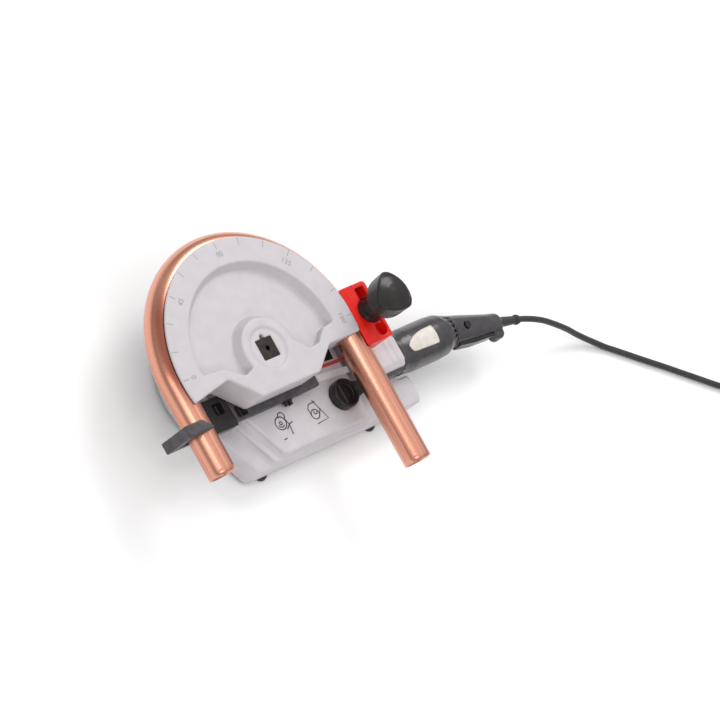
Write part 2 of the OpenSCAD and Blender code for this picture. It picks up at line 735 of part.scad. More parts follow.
module trigger_paddle() {
  start = pivot.x - 4;
  belly = pivot.x + 24;
  color(knob_black) in_grip() difference() {
    translate([0, 0, -paddle_half]) linear_extrude(2 * paddle_half) polygon(rounded([
      [start, pivot.y + 3.5], [start, -grip_at(start) - 1.5], [belly, -grip_at(belly) - 2.5],
      [paddle_end, -grip_tail_r - 0.5], [paddle_end, -grip_tail_r + 3.5]], [2, 2, 6, 1.5, 1]));
    translate([pivot.x, pivot.y, -paddle_half - 1]) cylinder(r = pin_r + run_gap, h = 2 * paddle_half + 2);
  }
}
module lock_button() {
  color(knob_black) in_grip() translate([lock_x, 0, 0]) rod_z(13.5, grip_at(lock_x) + lock_travel, lock_r);
}

// Cover over the gears beside the neck
cover_screw_x = [tower_x + 14, neck_x - 8];
cover_mid = tier_z + 14;
cover_t = 5;
module side_cover() {
  color(shell_black) difference() {
    translate([0, neck_front, 0]) rotate([90, 0, 0]) linear_extrude(cover_t) polygon(rounded([
      [tower_x + 4, tier_z + 1], [neck_x, tier_z + 1], [neck_x, seat_z - 6], [tower_x + 4, seat_z - 6]], 4));
    for (x = cover_screw_x) translate([x, neck_front + 1, cover_mid]) rotate([90, 0, 0]) {
      cylinder(r = screw_r, h = cover_t + 2);
      translate([0, 0, cover_t - 0.5]) cylinder(r = 3.8, h = 4);
    }
  }
}
module cover_screws() {
  color(steel) for (x = cover_screw_x)
    translate([x, neck_front, cover_mid]) rotate([90, 0, 0]) difference() {
      union() {
        translate([0, 0, -4]) cylinder(r = screw_r, h = cover_t + 2.5);
        translate([0, 0, cover_t - 1.5]) cylinder(r = 3.5, h = 1.8);
      }
      translate([0, 0, cover_t - 0.5]) cylinder(r = 1.5, h = 2);
    }
}

// Selector for the direction of the drive
dial_stem_r = 5;
module selector_switch() {
  color(knob_black) difference() {
    block(dial_at.x - 15, dial_at.x + 15, dial_at.y - 13, dial_at.y + 13, roof_z - 20, roof_z);
    translate([dial_at.x, dial_at.y, 0]) rod_z(roof_z - 9, roof_z + 1, dial_stem_r + run_gap);
  }
}
dial_dish = 5;
lever_reach = 26;
lever_tip_r = 8.5;
module selector_knob() {
  z0 = deck_z + drop_gap;
  top = z0 + dial_h;
  lever_top = top - 1.5;
  // Half widths of the lever at the dial's axis and at its rounded tip
  root_half = dial_r - 4;
  tip_half = lever_tip_r - 0.3;
  color(knob_black) translate([dial_at.x, dial_at.y, 0]) union() {
    rod_z(roof_z - 8, z0 + 2, dial_stem_r);
    difference() {
      union() {
        rotate_extrude() polygon([[0, z0], [dial_r, z0], [dial_r, top - 2], [dial_r - 1.5, top], [0, top]]);
        prism([[0, -root_half], [lever_reach, -tip_half], [lever_reach, tip_half], [0, root_half]],
          z0, lever_top);
        translate([lever_reach, 0, 0]) rod_z(z0, lever_top, lever_tip_r);
      }
      rotate_extrude() polygon([[0, top - dial_dish], [dial_r - 6, top - dial_dish], [dial_r - 4, top],
        [dial_r - 4, top + 1], [0, top + 1]]);
    }
    // Low finger bar across the dish
    block(-3, 3, -dial_r + 5, dial_r - 5, top - dial_dish - 1, top - dial_dish + 1.5);
  }
}

// Bending former
module groove_profile(r) {
  translate([bend_r, tube_z]) circle(r = r);
  translate([bend_r, tube_z - r]) square([former_lip + 10, 2 * r]);
}
former_edge = rounded([[-200, -ear_reach - 12], [-79.5, -16.3], [-44, -lobe_reach], [54, -lobe_reach],
  [88, -ear_reach], [220, -ear_reach], [220, 220], [-200, 220]], [1, 6, 5, 5, 5, 1, 1, 1]);
module former_pocket() {
  floor_z = former_top - pocket_depth;
  outer = former_r - rim_w;
  draft = pocket_depth * 0.6;
  over = 0.1;
  intersection() {
    rotate_extrude() polygon([[hub_r + draft, floor_z], [outer - draft, floor_z],
      [outer, former_top + over], [hub_r, former_top + over]]);
    prism(rounded([[-140, 2], [-78, -2.5], [-52, -20], [-37, -15], [-30, 0], [34, 0], [45, -7], [57, -20],
      [74, -18.5], [90, -4], [140, 2], [140, 160], [-140, 160]], [1, 8, 6, 4, 3, 3, 6, 6, 6, 8, 1, 1, 1]),
      floor_z - 1, former_top + 1);
  }
}
hub_dish = 2.5;
key_w = 6;
key_h = 5;
module bending_former() {
  half = square_hole / 2;
  dish_z = former_top - hub_dish;
  color(former_grey) difference() {
    intersection() {
      rod_z(former_z, former_top, former_r);
      prism(former_edge, former_z - 1, former_top + 1);
    }
    rotate_extrude($fn = 128) groove_profile(groove_r);
    former_pocket();
    // Shallow dish round the square
    rotate_extrude() polygon([[0, dish_z], [hub_r - 14, dish_z], [hub_r - 10, former_top],
      [hub_r - 10, former_top + 1], [0, former_top + 1]]);
    block(-half, half, -half, half, former_z - 1, former_top + 1);
    block(-key_w / 2, key_w / 2, 0, half + key_h, former_z - 1, former_top + 1);
    for (x = arm_screw_x) translate([x, arm_screw_y, 0]) rod_z(former_z - 1, former_z + 16, 3);
  }
}

// Hook, its arm under the former and the bracket that guides it
hook_y0 = -61.5;
hook_y1 = hook_y0 + hook_w;
limb_z = arm_z + 2.8;
hook_in = -(bend_r + tube_d / 2 + 0.8);
hook_out = hook_in - hook_wall;
bracket_x0 = -bend_r + 22;
bracket_x1 = -62;
guide_wall = 2.8;
arm_y0 = -60;
arm_screw_x = [-24, 36];
arm_screw_y = arm_y0 + arm_w - 8;
module hook_arm() {
  color(dark_steel) difference() {
    prism(rounded([[bracket_x1, arm_y0], [arm_reach, arm_y0], [arm_reach, arm_y0 + arm_w * 0.55],
      [arm_reach - 18, arm_y0 + arm_w], [bracket_x1, arm_y0 + arm_w]], [0, 1.5, 3, 3, 0]),
      arm_z, arm_z + arm_h);
    // The free end thins towards its tip on the underside
    translate([0, arm_y0 - 1, 0]) rotate([-90, 0, 0]) linear_extrude(arm_w + 2)
      polygon([[arm_reach - 44, -arm_z + 1], [arm_reach + 1, -arm_z + 1],
        [arm_reach + 1, -arm_z - arm_h * 0.55]]);
    // Pocket beside the bracket
    prism(rounded([[bracket_x1 + 5, arm_y0 + 3.5], [bracket_x1 + 22, arm_y0 + 3.5],
      [bracket_x1 + 22, arm_y0 + arm_w - 8], [bracket_x1 + 5, arm_y0 + arm_w - 8]], 2),
      arm_z + 3, former_z + 1);
    for (x = arm_screw_x) translate([x, arm_screw_y, 0]) {
      rod_z(arm_z - 1, former_z + 1, 3);
      rod_z(arm_z - 1, arm_z + 6, 5.2);
    }
  }
}
module arm_screws() {
  color(steel) for (x = arm_screw_x) translate([x, arm_screw_y, 0]) difference() {
    union() {
      rod_z(arm_z + 0.4, arm_z + 6, 5);
      rod_z(arm_z + 5, former_z + 15, 3);
    }
    translate([0, 0, arm_z]) cylinder(r = 2.9, h = 3.5, $fn = 6);
  }
}
module hook_bracket() {
  slack = drop_gap;
  color(knob_black) difference() {
    prism(rounded([[bracket_x0, hook_y0 - guide_wall], [bracket_x1, hook_y0 - guide_wall], [bracket_x1, -22],
      [bracket_x0 + 10, -22], [bracket_x0, -34]], [2, 1.5, 4, 3, 3]), arm_z, former_z);
    block(bracket_x0 - 1, bracket_x1 - 6, hook_y0 - slack, hook_y1 + slack,
      limb_z - slack, limb_z + limb_h + slack);
    prism(rounded([[bracket_x1 - 24, hook_y1 + guide_wall], [bracket_x1 - 9, hook_y1 + guide_wall],
      [bracket_x1 - 9, -30], [bracket_x1 - 24, -30]], 2.5), arm_z + 4, former_z + 1);
  }
}
module tube_hook() {
  finger_z = tube_z + tube_d / 2 + 0.7;
  tip_x = -bend_r + 3;
  limb_x = bracket_x1 - 8;
  color(dark_steel) difference() {
    translate([0, hook_y1, 0]) rotate([90, 0, 0]) linear_extrude(hook_w) polygon(rounded([
      [limb_x, limb_z], [limb_x, limb_z + limb_h], [hook_in, limb_z + limb_h], [hook_in, finger_z],
      [tip_x, finger_z], [tip_x, finger_z + finger_t], [hook_out - 4, finger_z + finger_t],
      [hook_out, limb_z]], [1, 1, 3, 1.5, 1, 1.5, 3, 4]));
    // The finger's tip is cut off at the corner nearest the bend
    translate([tip_x, hook_y1, finger_z - 1]) rotate([0, 0, 45]) block(-8.5, 8.5, -9, 9, 0, finger_t + 2);
  }
}
// The tube: a half turn round the former with a straight leg at each end
module tube_run(r) {
  translate([0, 0, tube_z]) {
    rotate_extrude(angle = 180, $fn = 128) translate([bend_r, 0]) circle(r = r);
    translate([bend_r, 0, 0]) rotate([90, 0, 0]) cylinder(r = r, h = leg_front);
    translate([-bend_r, 0, 0]) rotate([90, 0, 0]) cylinder(r = r, h = leg_hook);
  }
}
module copper_tube() {
  bore = tube_d / 2 - tube_wall;
  color(copper) difference() {
    tube_run(tube_d / 2);
    tube_run(bore);
    for (end = [[bend_r, -leg_front], [-bend_r, -leg_hook]])
      translate([end.x, end.y + 1, tube_z]) rotate([90, 0, 0]) cylinder(r = bore, h = 2);
  }
}

// Back former and its clamp
back_top = former_top + 0.5;
stud_z = seat_z - 22;
back_y0 = back_y - back_len / 2;
back_y1 = back_y + back_len / 2;
module back_former() {
  color(signal_red) difference() {
    prism(rounded([[back_x, back_y0], [holder_x, back_y0], [holder_x, back_y1], [back_x, back_y1]],
      [2, 0, 0, 2]), seat_z, back_top);
    translate([bend_r, back_y0 - 1, tube_z]) rotate([-90, 0, 0])
      cylinder(r = tube_d / 2 + back_gap, h = back_len + 2);
    // Bevel towards the bending former
    translate([0, back_y1 + 1, 0]) rotate([90, 0, 0]) linear_extrude(back_len + 2) polygon([
      [back_x - 1, back_top - 3.4], [back_x + 7, back_top],
      [back_x + 7, back_top + 1], [back_x - 1, back_top + 1]]);
  }
}
module former_holder() {
  right = back_x + back_w;
  pocket = [holder_x + 3, right - 6, back_y1 - 24, back_y1 - 6];
  hollow = [holder_x + 11, back_y0 + 13];
  color(signal_red) difference() {
    prism(rounded([[holder_x, back_y0], [right, back_y0], [right, back_y1], [holder_x, back_y1]],
      [0, 5, 5, 0]), seat_z, back_top);
    translate([clamp_x, clamp_y, 0]) rod_z(seat_z - 1, back_top + 1, stud_r + run_gap);
    prism(rounded([[pocket[0], pocket[2]], [pocket[1], pocket[2]], [pocket[1], pocket[3]],
      [pocket[0], pocket[3]]], 2), back_top - 22, back_top + 1);
    translate([hollow.x, hollow.y, 0]) rod_z(back_top - 16, back_top + 1, 8.5);
    // Sloping channel from the clamp towards the front hollow
    translate([hollow.x, hollow.y, back_top - 4]) rotate([8, 0, 0]) block(-7, 7, 0, 14, 0, 12);
  }
}
module clamp_stud() {
  color(steel) translate([clamp_x, clamp_y, 0]) rod_z(stud_z, back_top + 12, stud_r);
}
knob_turn = 77;
side_r = knob_r - 7;
side_bulge = 1.5 * knob_r;
// One of the knob's three bulging sides, across from a corner
module knob_side(i, z0, z1) {
  rotate([0, 0, knob_turn + 120 * i]) translate([side_bulge - side_r, 0, 0]) rod_z(z0, z1, side_bulge);
}
module clamp_knob() {
  z0 = back_top + drop_gap;
  grip_z = z0 + collar_h;
  top = grip_z + knob_h;
  color(knob_black) translate([clamp_x, clamp_y, 0]) difference() {
    union() {
      rotate_extrude() polygon([[0, z0], [17.5, z0], [15.5, z0 + 7], [15, grip_z - 6], [18, grip_z + 1],
        [0, grip_z + 1]]);
      intersection() {
        knob_side(0, grip_z, top);
        knob_side(1, grip_z, top);
        knob_side(2, grip_z, top);
        rotate_extrude() polygon([[0, grip_z], [knob_r - 8, grip_z], [knob_r - 4.5, grip_z + 4],
          [knob_r - 1, top - 10], [knob_r - 3, top - 7], [knob_r - 10, top - 3.6], [knob_r - 20, top - 1],
          [0, top]]);
      }
    }
    rod_z(z0 - 1, back_top + 12, stud_r);
  }
}

// Mains cord: tapered sleeve, free run, coil with its tie, and plug
function sweep_faces(rings, sides) = let (n = rings - 1) concat(
  [for (i = [0:n - 1], j = [0:sides - 1]) let (k = (j + 1) % sides, a = i * sides, b = a + sides) each
    [[a + j, a + k, b + k], [a + j, b + k, b + j]]],
  [for (j = [1:sides - 2]) [0, j + 1, j]],
  [for (j = [1:sides - 2]) [n * sides, n * sides + j, n * sides + j + 1]]);
// A ring of points square to the path at point i
function ring_at(path, i, r, sides) =
  let (last = len(path) - 1, d = unit(path[min(i + 1, last)] - path[max(i - 1, 0)]),
       side = unit(cross([0, 0, 1], d)), up = cross(d, side))
  [for (j = [0:sides - 1]) path[i] + r * (side * cos(360 * j / sides) + up * sin(360 * j / sides))];
module sweep(path, r, sides) {
  polyhedron(points = [for (i = [0:len(path) - 1]) each ring_at(path, i, r, sides)],
    faces = [for (f = sweep_faces(len(path), sides)) [f[2], f[1], f[0]]]);
}
grip_dir = [cos(grip_yaw), -sin(grip_yaw), 0];
grip_side = [sin(grip_yaw), cos(grip_yaw), 0];
cord_start = [grip_x, motor_y, motor_z] + grip_dir * (grip_len + sleeve_len) + grip_side * sleeve_y;
// Route of the free cord, chosen by hand: out of the sleeve, down to the bench and away from the motor
cord_route = [
  [465, -86, 46], [481, -91, 44], [497, -97, 41], [513, -104, 36], [529, -111, 30], [545, -118, 23],
  [560, -126, 16], [575, -135, 11], [592, -146, 7], [611, -159, 4], [632, -174, 4], [658, -193, 4],
  [686, -213, 4], [709, -230, 4], [732, -247, 4], [755, -264, 4], [778, -280, 5], [802, -297, 5.5]
];
// Coil: two flat spirals, in along the bench and out again on top
coil_turns = 7;
coil_pitch = cord_d + 0.6;
coil_in = 33;
coil_steps = 24;
coil_z = cord_d / 2 + 1.5;
coil_out = coil_in + coil_pitch * coil_turns / 2;
coil_start = [826, -314, coil_z];
coil_heading = -35;
coil_mid = coil_start + coil_out * [-sin(coil_heading), cos(coil_heading), 0];
function smooth(t) = let (c = max(0, min(1, t))) c * c * (3 - 2 * c);
function coil_point(s) = let (a = coil_heading - 90 + 360 * s,
    r = coil_in + coil_pitch * abs(s - coil_turns / 2),
    z = coil_z + coil_pitch * smooth((s - coil_turns / 2 + 0.25) / 0.5))
  [coil_mid.x + r * cos(a), coil_mid.y + r * sin(a), z];
heading_dir = [cos(coil_heading), sin(coil_heading), 0];
coil_loops = [for (i = [0:coil_turns * coil_steps]) coil_point(i / coil_steps)];
coil_end = coil_loops[len(coil_loops) - 1];
plug_half = 10.5;
plug_drop = coil_end.z - plug_half - 0.1;
// Past its last loop the cord runs straight on and sinks to the plug's own height
coil_tail = [[10, 0], [22, 0.3], [34, 0.8], [44, 1], [52, 1]];
coil_path = concat([coil_start - heading_dir * cord_d], coil_loops,
  [for (q = coil_tail) coil_end + heading_dir * q[0] - [0, 0, plug_drop * q[1]]]);
// Least gap of the coil to itself, between points more than half a turn apart
coil_gap = min([for (i = [0:len(coil_loops) - 1], j = [i + coil_steps / 2:1:len(coil_loops) - 1])
  norm(coil_loops[i] - coil_loops[j])]) - cord_d;
echo(coil_gap = coil_gap);
plug_at = coil_path[len(coil_path) - 1];
module at_plug() { translate(plug_at) rotate([0, 0, coil_heading]) children(); }

module cord_sleeve() {
  wall_end = 3 + grip_wall;
  tip = sleeve_len + wall_end;
  cuff = cord_d / 2 + 2.6;
  color(rubber) in_grip() translate([grip_len - wall_end, sleeve_y, 0]) rotate([0, 90, 0])
    rotate_extrude() polygon([[0, 0], [sleeve_root + 2, 0], [sleeve_root + 2, 2.9], [sleeve_root, 3],
      [sleeve_root, wall_end], [sleeve_root + 1.5, wall_end + 0.1], [sleeve_root + 1, wall_end + 4],
      [cord_d / 2 + 1.2, tip - 8], [cuff, tip - 7], [cuff, tip - 4], [cord_d / 2 + 1, tip], [0, tip]]);
}
module cord() {
  coil_lead = [for (d = [cord_d + 5, cord_d]) coil_start - heading_dir * d];
  path = concat([cord_start, cord_start + grip_dir * 3], cord_route, coil_lead);
  color(rubber) sweep(path, cord_d / 2, 10);
}
module cord_coil() { color(rubber) sweep(coil_path, cord_d / 2, 6); }
module cord_tie() {
  mid = (coil_in + coil_out) / 2 - coil_pitch / 4;
  half = (coil_out - coil_in + coil_pitch) / 2 + cord_d / 2 + 1;
  top = coil_z + coil_pitch + cord_d / 2 + 1;
  color(knob_black) translate([coil_mid.x, coil_mid.y, 0]) rotate([0, 0, coil_heading + 60]) difference() {
    block(mid - half - 1, mid + half + 1, -6, 6, 0.2, top + 1);
    block(mid - half, mid + half, -7, 7, 1.2, top);
  }
}
plug_neck = 18;
plug_len = 32;
plug_w = 17;
pin_len = 19;
pin_side = 9.5;
module plug_body() {
  color(rubber) at_plug() union() {
    rotate([0, 90, 0]) rotate_extrude() polygon([[0, 0], [5.5, 0], [7, 14], [9.5, 22], [0, 22]]);
    translate([plug_neck, 0, -plug_half]) linear_extrude(2 * plug_half) polygon(rounded([
      [0, -9], [12, -plug_w], [plug_len, -plug_w], [plug_len, plug_w], [12, plug_w], [0, 9]],
      [2, 6, 3, 3, 6, 2]));
  }
}
module plug_pins() {
  face = plug_neck + plug_len;
  color(steel) at_plug() for (s = [-1, 1]) rod_x(face, face + pin_len, s * pin_side, 0, 2.4);
}

gear_housing();
bottom_plate();
plate_screws();
feet();
lower_bearing();
upper_bearing();
shaft_seal();
worm_bearings();
motor_bearings();
motor_housing();
motor_screws();
stator();
brush_holders();
brushes();
grip_upper();
grip_lower();
grip_screws();
switch_module();
trigger_pin();
side_cover();
cover_screws();
selector_switch();
back_former();
former_holder();
cord_sleeve();
cord();
cord_coil();
cord_tie();
plug_body();
plug_pins();
drive_shaft();
worm_wheel();
bending_former();
hook_arm();
hook_bracket();
arm_screws();
tube_hook();
copper_tube();
worm_shaft();
worm();
worm_gear();
armature_shaft();
armature_core();
commutator();
motor_pinion();
cooling_fan();
selector_knob();
clamp_knob();
clamp_stud();
trigger_paddle();
lock_button();
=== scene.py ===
# %% [markdown]
# # An electric pipe bender
# A geared motor turns a grooved half disc, the former. A hook draws a copper tube round it and a red
# back former holds the tube in the groove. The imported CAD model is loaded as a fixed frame, in
# metres, and every piece below is made in that frame. Sizes of the machine are written in
# millimetres and multiplied by MM. Those of camera, floor and lamps are in metres.

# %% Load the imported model
import json
import math
import bmesh
import bpy
from mathutils import Matrix, Vector
from mathutils.bvhtree import BVHTree


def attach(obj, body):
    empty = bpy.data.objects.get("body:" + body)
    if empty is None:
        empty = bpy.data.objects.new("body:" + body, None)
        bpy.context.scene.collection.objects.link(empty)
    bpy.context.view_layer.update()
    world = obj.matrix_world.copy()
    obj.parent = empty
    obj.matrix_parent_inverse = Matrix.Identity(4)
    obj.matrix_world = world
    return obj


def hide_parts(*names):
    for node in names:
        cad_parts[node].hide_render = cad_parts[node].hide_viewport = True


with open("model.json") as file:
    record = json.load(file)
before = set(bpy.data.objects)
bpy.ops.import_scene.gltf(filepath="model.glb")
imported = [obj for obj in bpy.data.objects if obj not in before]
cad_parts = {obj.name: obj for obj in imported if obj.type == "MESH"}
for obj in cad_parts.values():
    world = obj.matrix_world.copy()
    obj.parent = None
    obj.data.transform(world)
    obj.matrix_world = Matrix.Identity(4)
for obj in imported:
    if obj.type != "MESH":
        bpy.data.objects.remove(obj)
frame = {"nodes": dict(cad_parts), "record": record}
nodes = frame["nodes"]
home = {n: body for body, names in frame["record"]["behaviour"]["bodies"].items() for n in names}
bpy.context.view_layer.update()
scene = bpy.context.scene
MM = 0.001

# %% [markdown]
# The camera comes first. A long lens stands high on the left of the machine and is rolled a little,
# as a product photographer does to lay a long object across a square frame. Its three directions are
# given as vectors, because a matrix of right, up and back is easier to reason about than angles.

# %% Camera
focal_mm, sensor_mm, farthest = 210.9, 36, 60
standpoint = Vector((-3.2902, -0.5572, 3.8203))
to_right = Vector((0.6758, -0.4832, 0.5566))
to_floor = Vector((-0.2989, -0.87, -0.3922))
to_object = Vector((0.6737, 0.0987, -0.7324))
lens = bpy.data.cameras.new("camera")
lens.lens = focal_mm
lens.sensor_width = sensor_mm
lens.clip_end = farthest
camera = bpy.data.objects.new("camera", lens)
camera.matrix_world = (Matrix.Translation(standpoint)
                       @ Matrix((to_right, -to_floor, -to_object)).transposed().to_4x4())
scene.collection.objects.link(camera)
scene.camera = camera
print("camera at", [round(x, 3) for x in camera.location])

# %% [markdown]
# The mains cord is next, because its route decides how much floor the model needs. It leaves the
# sleeve behind the grip, sinks to the bench and runs out of the picture, where the rest of its length
# lies in a tied coil. The points repeat the CAD route, and a Catmull-Rom curve rounds them.

# %% Route of the cord
cord_d, cord_step, cord_stub = 8.0, 5, 3
motor_y, motor_z = -60, 46.1
sleeve_end, sleeve_aside = 130, 2.5
yaw = math.radians(11.3)
along_grip = Vector((math.cos(yaw), -math.sin(yaw), 0))
beside_grip = Vector((math.sin(yaw), math.cos(yaw), 0))
grip_root = Vector((326, motor_y, motor_z))
cord_exit = grip_root + along_grip * sleeve_end + beside_grip * sleeve_aside
cord_run = [cord_exit, cord_exit + along_grip * cord_stub] + [Vector(p) for p in (
    (465, -86, 46), (481, -91, 44), (497, -97, 41), (513, -104, 36), (529, -111, 30), (545, -118, 23),
    (560, -126, 16), (575, -135, 11), (592, -146, 7), (611, -159, 4), (632, -174, 4), (658, -193, 4),
    (686, -213, 4), (709, -230, 4), (732, -247, 4), (755, -264, 4), (778, -280, 5), (802, -297, 5.5))]
coil_turns, coil_steps, coil_pitch, coil_in, coil_z = 7, 24, 8.6, 33.0, 5.5
plug_z = 10.6
heading = math.radians(-35)
ahead = Vector((math.cos(heading), math.sin(heading), 0))
coil_start = Vector((826, -314, coil_z))
coil_mid = coil_start + (coil_in + coil_pitch * coil_turns / 2) * Vector((-ahead.y, ahead.x, 0))


def eased(t):
    c = max(0.0, min(1.0, t))
    return c * c * (3 - 2 * c)


def coil_point(s):
    turn = heading - math.pi / 2 + 2 * math.pi * s
    r = coil_in + coil_pitch * abs(s - coil_turns / 2)
    rise = coil_pitch * eased((s - coil_turns / 2 + 0.25) / 0.5)
    return Vector((coil_mid.x + r * math.cos(turn), coil_mid.y + r * math.sin(turn), coil_z + rise))


loops = [coil_point(i / coil_steps) for i in range(coil_steps * coil_turns + 1)]
plug_drop = loops[-1].z - plug_z
tail = [loops[-1] + ahead * d - Vector((0, 0, plug_drop * part))
        for d, part in ((10, 0), (22, 0.3), (34, 0.8), (44, 1), (52, 1))]
cord_points = cord_run + [coil_start - ahead * 10] + loops + tail


def rounded_path(points, step):
    path = []
    for i in range(len(points) - 1):
        a, b = points[max(i - 1, 0)], points[i]
        c, d = points[i + 1], points[min(i + 2, len(points) - 1)]
        pieces = max(1, math.ceil((c - b).length / step))
        for k in range(pieces):
            t = k / pieces
            path.append(0.5 * (2 * b + (c - a) * t + (2 * a - 5 * b + 4 * c - d) * t * t
                               + (3 * b - a - 3 * c + d) * t ** 3))
    return path + [points[-1]]


cord_path = [Vector((p.x, p.y, max(p.z, cord_d / 2))) * MM
             for p in rounded_path(cord_points, cord_step)]

# %% [markdown]
# Cord and copper tube are both a round section carried along a path. One helper sweeps the rings,
# closes the ends and writes a UV map: u runs round the section and v along it in metres, so that a
# material can draw streaks that follow every bend.

# %% Swept pieces


def add_piece(name, mesh):
    piece = bpy.data.objects.new(name, mesh)
    scene.collection.objects.link(piece)
    return piece


def swept(name, path, radius, sides, bore=0.0):
    bm = bmesh.new()
    uv = bm.loops.layers.uv.new("along")
    side = (path[1] - path[0]).cross(Vector((0, 0, 1))).normalized()
    walls = [(radius, 1)] + ([(bore, -1)] if bore else [])
    rings = [[] for _ in walls]
    far, travelled = [], 0.0
    for i, p in enumerate(path):
        travelled += (p - path[i - 1]).length if i else 0.0
        far.append(travelled)
        way = (path[min(i + 1, len(path) - 1)] - path[max(i - 1, 0)]).normalized()
        side = (side - way * side.dot(way)).normalized()
        up = way.cross(side)
        for ring, (r, _) in zip(rings, walls):
            ring.append([bm.verts.new(p + r * (side * math.cos(a) + up * math.sin(a)))
                         for a in (2 * math.pi * j / sides for j in range(sides))])
    for ring, (_, sense) in zip(rings, walls):
        for i in range(len(path) - 1):
            for j in range(sides):
                k = (j + 1) % sides
                corners = [(i, j, j), (i, k, j + 1), (i + 1, k, j + 1), (i + 1, j, j)][::sense]
                face = bm.faces.new([ring[n][m] for n, m, _ in corners])
                face.smooth = True
                for loop, (n, _, u) in zip(face.loops, corners):
                    loop[uv].uv = (u / sides, far[n])
    for end, sense in ((0, -1), (-1, 1)):
        if bore:
            for j in range(sides):
                k = (j + 1) % sides
                bm.faces.new([rings[0][end][j], rings[0][end][k], rings[1][end][k],
                              rings[1][end][j]][::sense])
        else:
            bm.faces.new(rings[0][end][::sense])
    mesh = bpy.data.meshes.new(name)
    bm.to_mesh(mesh)
    bm.free()
    return add_piece(name, mesh)


mains_cord = swept("mains_cord", cord_path, cord_d / 2 * MM, sides=16)
print("cord faces", len(mains_cord.data.polygons))

# %% [markdown]
# The stage is a wide pale floor under soft light. The sky is brighter overhead than near the horizon,
# as under a studio's ceiling panel, so that walls come out darker than tops. One large soft lamp stands
# behind, a long one near the camera draws the streaks on the copper, and a weak one in front lifts
# the front walls. The plain Standard view keeps the white floor white and the red red.

# %% Floor and light
scene.view_settings.view_transform = "Standard"
scene.view_settings.look = "None"
floor_half, floor_drop = 9, 0.0006
horizon_light, ceiling_light, ceiling_from = 0.3, 1.0, 0.85
part_middle = Vector((0.1, 0, 0.05))
floor_mesh = bpy.data.meshes.new("floor")
floor_mesh.from_pydata([(x * floor_half, y * floor_half, 0)
                        for x, y in ((-1, -1), (1, -1), (1, 1), (-1, 1))], [], [(0, 1, 2, 3)])
floor = add_piece("floor", floor_mesh)
floor.location.z = -floor_drop
sky = bpy.data.worlds.new("sky")
scene.world = sky
sky.use_nodes = True
panel = sky.node_tree.nodes["Background"]
panel.inputs["Color"].default_value = (1.0, 1.0, 1.0, 1)
direction = sky.node_tree.nodes.new("ShaderNodeTexCoord")
height = sky.node_tree.nodes.new("ShaderNodeSeparateXYZ")
brightness = sky.node_tree.nodes.new("ShaderNodeMapRange")
brightness.inputs["From Min"].default_value = 0.0
brightness.inputs["From Max"].default_value = ceiling_from
brightness.inputs["To Min"].default_value = horizon_light
brightness.inputs["To Max"].default_value = ceiling_light
sky.node_tree.links.new(direction.outputs["Generated"], height.inputs["Vector"])
sky.node_tree.links.new(height.outputs["Z"], brightness.inputs["Value"])
sky.node_tree.links.new(brightness.outputs["Result"], panel.inputs["Strength"])


def soft_lamp(name, place, width, length, power):
    lamp = bpy.data.lights.new(name, "AREA")
    lamp.shape = "RECTANGLE"
    lamp.size = width
    lamp.size_y = length
    lamp.energy = power
    holder = bpy.data.objects.new(name, lamp)
    holder.location = place
    holder.rotation_euler = (part_middle - Vector(place)).to_track_quat("-Z", "Y").to_euler()
    scene.collection.objects.link(holder)


soft_lamp("lamp_behind", (1.5, 1.3, 1.9), width=1.1, length=1.1, power=26)
soft_lamp("lamp_by_camera", (-1.5, 0.35, 1.8), width=0.3, length=1.2, power=6)
soft_lamp("lamp_in_front", (-1.1, -1.9, 1.7), width=0.7, length=0.7, power=8)
print("lamps", len(bpy.data.lights))

# %% [markdown]
# Every finish is a small node tree on Object coordinates, in metres, or on the piece's own UV map. A
# broad noise moves the colour between two tones, and a fine one changes the roughness and gives the
# surface its tooth, as spray paint, moulded plastic and sand casting all have. What is the same all
# over is set on the socket. A noise stays mostly near its middle, so only that stretch is spread out.

# %% Finishes
noise_low, noise_high = 0.3, 0.7
ramp_dark, ramp_light = 0.32, 0.68


def tone(rgb):
    return [((c / 255 + 0.055) / 1.055) ** 2.4 if c > 10 else c / 255 / 12.92 for c in rgb] + [1]


def noise(tree, coordinates, scale, detail=3.0):
    node = tree.nodes.new("ShaderNodeTexNoise")
    node.inputs["Scale"].default_value = scale
    node.inputs["Detail"].default_value = detail
    tree.links.new(coordinates, node.inputs["Vector"])
    return node.outputs["Fac"]


def spread(tree, value, low, high):
    node = tree.nodes.new("ShaderNodeMapRange")
    node.inputs["From Min"].default_value = noise_low
    node.inputs["From Max"].default_value = noise_high
    node.inputs["To Min"].default_value = low
    node.inputs["To Max"].default_value = high
    tree.links.new(value, node.inputs["Value"])
    return node.outputs["Result"]


